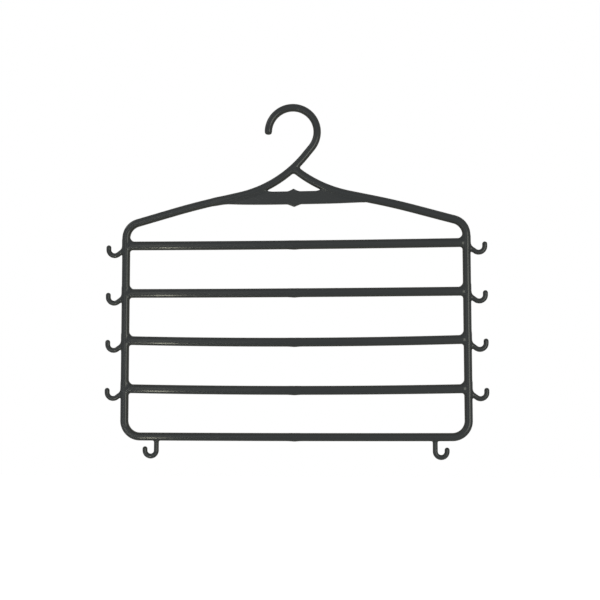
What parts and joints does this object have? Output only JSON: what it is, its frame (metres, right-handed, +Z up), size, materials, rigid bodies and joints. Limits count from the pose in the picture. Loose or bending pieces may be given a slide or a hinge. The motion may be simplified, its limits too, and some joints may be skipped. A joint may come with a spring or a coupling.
{
  "type": "trouser hanger",
  "caption": "Tiered trouser hanger: a closet hook runs down into sloping shoulders over a frame of level bars, with small hooks on its outer edges and below its bottom rail.",
  "frame": {"origin": "the point on the inside top of the closet hook that rests on the wardrobe rail", "axes": "+X to the right seen from the front, -Y towards the viewer, +Z up; the moulding's mid plane is Y = 0 and the frame's middle is X = 0.0017"},
  "size_m": [0.3828, 0.008, 0.3566],
  "materials": {
    "moulded_plastic": "satin black polypropylene with a fine even mould grain and a soft sheen"
  },
  "bodies": {
    "root": {"closet_hook": "moulded_plastic", "left_shoulder": "moulded_plastic", "right_shoulder": "moulded_plastic", "centre_plate": "moulded_plastic", "left_upright": "moulded_plastic", "right_upright": "moulded_plastic", "trouser_bar_1": "moulded_plastic", "trouser_bar_2": "moulded_plastic", "trouser_bar_3": "moulded_plastic", "trouser_bar_4": "moulded_plastic", "bottom_rail": "moulded_plastic", "left_side_hook_1": "moulded_plastic", "left_side_hook_2": "moulded_plastic", "left_side_hook_3": "moulded_plastic", "left_side_hook_4": "moulded_plastic", "right_side_hook_1": "moulded_plastic", "right_side_hook_2": "moulded_plastic", "right_side_hook_3": "moulded_plastic", "right_side_hook_4": "moulded_plastic", "left_bottom_hook": "moulded_plastic", "right_bottom_hook": "moulded_plastic"}
  },
  "joints": []
}
